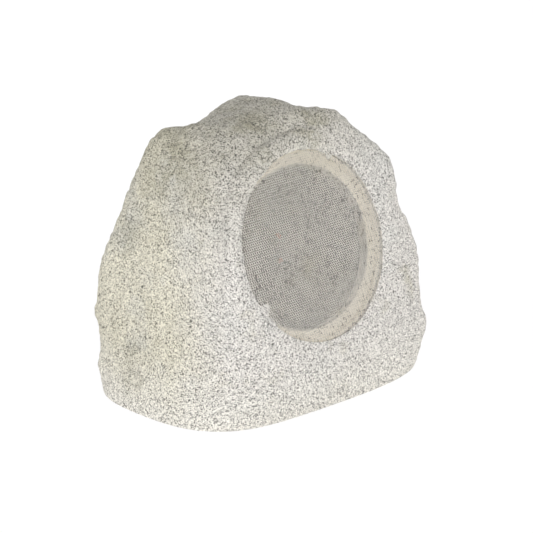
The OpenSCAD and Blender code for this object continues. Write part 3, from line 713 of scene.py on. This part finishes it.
def windingFinish(name, colour, pitch, formerAbove=None, former=(34, 31, 29), metal=0.85):
    # turns of enamelled wire: fine bands along the coil's height, darker in the grooves between turns
    # as painted shade; a dark former shows beyond a given height along the driver's axis, in mm
    # from the grille
    material, tree, shader, coords = newMaterial(name)
    bands = makeNode(tree, "TexWave", {"Vector": coords, "Scale": 1 / pitch, "Distortion": 0.3,
                                       "Detail": 1.0}, bands_direction="Z").outputs["Fac"]
    mixed = mixColours(tree, bands, shaded(colour, 0.55), linear(colour))
    if formerAbove is None:
        shader.inputs["Metallic"].default_value = metal
    else:
        start = (float(grilleMid @ axisOut) + formerAbove) * mm
        beyond = remap(tree, alongAxis(tree, coords, axisOut), start, start + 0.0004)
        mixed = mixColours(tree, beyond, mixed, linear(former))
        tree.links.new(calculate(tree, "SUBTRACT", 1.0, beyond), shader.inputs["Metallic"])
    setSurface(tree, shader, mixed, 0.32, bands, 0.5, 0.0003)
    return material


def clothFinish(name, colour, thread):
    # woven cloth: two crossed sets of fine bands, darker where the weave dips as painted shade between
    # the threads
    material, tree, shader, coords = newMaterial(name)
    warp, weft = [makeNode(tree, "TexWave", {"Vector": coords, "Scale": 1 / thread, "Distortion": 0.6},
                           bands_direction=along).outputs["Fac"] for along in ("X", "Z")]
    weave = calculate(tree, "MULTIPLY", warp, weft)
    mixed = mixColours(tree, weave, shaded(colour, 0.5), linear(colour))
    setSurface(tree, shader, mixed, 0.85, weave, 0.4, 0.0003)
    return material


stonePaint = graniteFinish("stone_paint", granite)
# the same paint on the grille, thinner, paler and with more flakes, with a lighter painted shade at the
# top and no stains
grillePaint = graniteFinish("grille_paint", {
    **granite, "cream": (229, 224, 215), "warm": (225, 217, 201), "stainAndTopShade": (213, 208, 194),
    "olive": (213, 206, 186), "grey": (221, 218, 211), "flakeSize": 2.0,
    "flakeShare": 0.085, "stains": []}, 0.55)
finishes = {
    "moulding": plainFinish("black_moulding", (34, 34, 36), 0.55, grain=90, bump=0.25),
    "resin": plainFinish("bare_resin", (168, 158, 140), 0.75, grain=40, spread=0.18, bump=0.35),
    "laidResin": plainFinish("hand_laid_resin", (176, 164, 140), 0.7, grain=55, spread=0.22, bump=0.5),
    # the dark oval sits 9 mm left of the grille's middle: its left part is painted shadow of the lip on
    # the ledge
    "ledgePaint": ledgeFinish("ledge_paint", (250, 241, 220), (26, 24, 23), (-9.0, 1.0, 97.5, 88.0)),
    "powderCoat": plainFinish("black_powder_coat", (24, 24, 26), 0.5, grain=220, bump=0.3),
    "darkSteel": plainFinish("darkened_steel", (44, 44, 46), 0.45, metal=0.7, grain=120, spread=0.15,
                             bump=0.1),
    "zinc": plainFinish("zinc", (186, 188, 194), 0.32, metal=1.0, grain=120, spread=0.1, bump=0.08),
    "ferrite": plainFinish("ferrite", (48, 48, 52), 0.62, grain=160, spread=0.25, bump=0.4),
    "rubber": plainFinish("black_rubber", (22, 22, 22), 0.62, grain=150, spread=0.2, bump=0.2),
    "foamRubber": plainFinish("foam_rubber", (32, 32, 33), 0.92, grain=300, spread=0.3, bump=0.6),
    "pulp": plainFinish("coated_pulp", (30, 30, 33), 0.7, grain=180, spread=0.3, bump=0.6),
    "laminate": plainFinish("laminate", (146, 104, 56), 0.5, grain=90, spread=0.2, bump=0.1),
    "mask": plainFinish("solder_mask", (22, 74, 42), 0.3, grain=50, spread=0.15, coat=0.4),
    "nylon": plainFinish("white_nylon", (222, 220, 208), 0.5, grain=70, spread=0.05),
    "film": plainFinish("yellow_film", (190, 152, 42), 0.28, grain=40, spread=0.08, bump=0.04,
                        coat=0.3),
    "steatite": plainFinish("white_ceramic", (226, 220, 204), 0.7, grain=160, spread=0.08, bump=0.2),
    "blueMoulding": plainFinish("blue_moulding", (26, 74, 138), 0.4, grain=80, spread=0.08, bump=0.08),
    "darkWire": plainFinish("dark_wire", (52, 20, 18), 0.42, grain=90, spread=0.1),
    "copperTurns": windingFinish("copper_turns", (196, 112, 60), 0.0012),
    "coilTurns": windingFinish("coil_turns", (196, 112, 60), 0.0008, -66.0),
    "darkBraid": clothFinish("dark_braid", (52, 44, 40), 0.0008),
    "dippedCloth": clothFinish("dipped_cloth", (190, 156, 84), 0.0014),
    "coatedSilk": clothFinish("coated_silk", (46, 46, 52), 0.0009)}

nodeFinish = {
    "mounting_ring": "laidResin", "base_plate": "moulding", "base_gasket": "foamRubber",
    "base_screws": "zinc", "gland_body": "moulding", "gland_locknut": "moulding",
    "gland_seal": "rubber", "gland_nut": "moulding", "driver_frame": "powderCoat",
    "driver_gasket": "foamRubber", "driver_screws": "zinc", "surround": "rubber", "cone": "pulp",
    "spider": "dippedCloth", "voice_coil": "coilTurns", "top_plate": "darkSteel",
    "magnet": "ferrite", "back_plate": "darkSteel", "tweeter_post": "moulding",
    "tweeter_housing": "moulding", "tweeter_magnet": "ferrite", "tweeter_dome": "coatedSilk",
    "terminal_strip": "laminate", "lead_wires": "darkBraid", "crossover_board": "mask",
    "board_posts": "nylon", "board_screws": "zinc", "capacitors": "film",
    "inductors": "copperTurns", "resistor": "steatite", "input_block": "blueMoulding",
    "driver_wires": "darkWire"}


def dress(piece, *materials):
    # gives a piece its materials in place of those it had
    piece.data.materials.clear()
    for material in materials:
        piece.data.materials.append(material)


for nodeName, finish in nodeFinish.items():
    dress(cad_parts[nodeName], finishes[finish])
for nodeName, piece in softPieces.items():
    dress(piece, finishes[nodeFinish[nodeName]])
dress(stoneShell, stonePaint, finishes["resin"], finishes["ledgePaint"])
# painted ledge and well in front of the driver, bare resin in the hollow
middle = np.zeros(len(stoneShell.data.polygons) * 3)
stoneShell.data.polygons.foreach_get("center", middle)
off, height = fromGrille(middle.reshape(-1, 3) / mm)
backOfLedge = boulder["ledgeDepth"] + boulder["ledgeThickness"]
inWell = (off < boulder["recessRadius"] + 0.5) & (height > 0.1 - backOfLedge)
which = np.where(smoothFlags, 0, np.where(inWell, 2, 1))
stoneShell.data.polygons.foreach_set("material_index", which.astype(np.int32))
dress(stoneLip, stonePaint)
for piece in (*meshHalves, meshRim):
    dress(piece, grillePaint)
print("finishes done")

# the floor, the backdrop and the lamps: the floor in mm, the lamps in degrees, metres and watts
studio = {"floor": (0.9, 0.9, 0.9, 1), "floorHalf": 9000.0, "floorHeight": -0.15,
          "floorGlow": 1.05, "floorGlowShare": 0.88, "world": 0.54, "worldSeen": 1.02,
          # name, direction round, direction up, distance, power, size
          "lamps": [("key", -40, 13, 2.6, 29.0, 1.3), ("fill", 30, 14, 2.6, 21.0, 1.3),
                    ("low", -105, 13, 2.6, 22.0, 1.3), ("back", 150, 16, 2.8, 16.0, 1.4)]}


def seenRays(tree):
    # 1 for what is seen straight on, in a reflection or through clear material, 0 for the light
    # that falls on the object
    path = makeNode(tree, "LightPath")
    seen = calculate(tree, "MAXIMUM", path.outputs["Is Camera Ray"], path.outputs["Is Glossy Ray"])
    return calculate(tree, "MAXIMUM", seen, path.outputs["Is Transmission Ray"])


def makeFloor():
    # a wide pale floor that keeps the object's shadow and looks white
    half, height = studio["floorHalf"], studio["floorHeight"]
    corners = [(-half, -half, height), (half, -half, height), (half, half, height), (-half, half, height)]
    floor = addMesh("floor", corners, [[0, 1, 2, 3]], smooth=False)
    material, tree, shader, coords = newMaterial("pale_floor")
    shader.inputs["Base Color"].default_value = studio["floor"]
    shader.inputs["Roughness"].default_value = 0.9
    glow = makeNode(tree, "Emission", {"Strength": studio["floorGlow"]})
    share = calculate(tree, "MULTIPLY", seenRays(tree), studio["floorGlowShare"])
    mix = makeNode(tree, "MixShader", {0: share, 1: shader.outputs[0], 2: glow.outputs[0]})
    tree.links.new(mix.outputs[0], tree.nodes["Material Output"].inputs["Surface"])
    dress(floor, material)


def makeWorld():
    # even light from all round, which looks white
    world = bpy.data.worlds.new("studio")
    bpy.context.scene.world = world
    world.use_nodes = True
    tree = world.node_tree
    back = tree.nodes["Background"]
    back.inputs["Color"].default_value = (1, 1, 1, 1)
    strength = remap(tree, seenRays(tree), 0.0, 1.0, studio["world"], studio["worldSeen"])
    tree.links.new(strength, back.inputs["Strength"])


makeFloor()
makeWorld()
for name, azimuth, elevation, distance, power, size in studio["lamps"]:
    data = bpy.data.lights.new(name, "AREA")
    data.energy, data.size = power, size
    aimAtStone(data, azimuth, elevation, distance)
bpy.context.scene.view_settings.view_transform = "Standard"
print("floor and lights done")
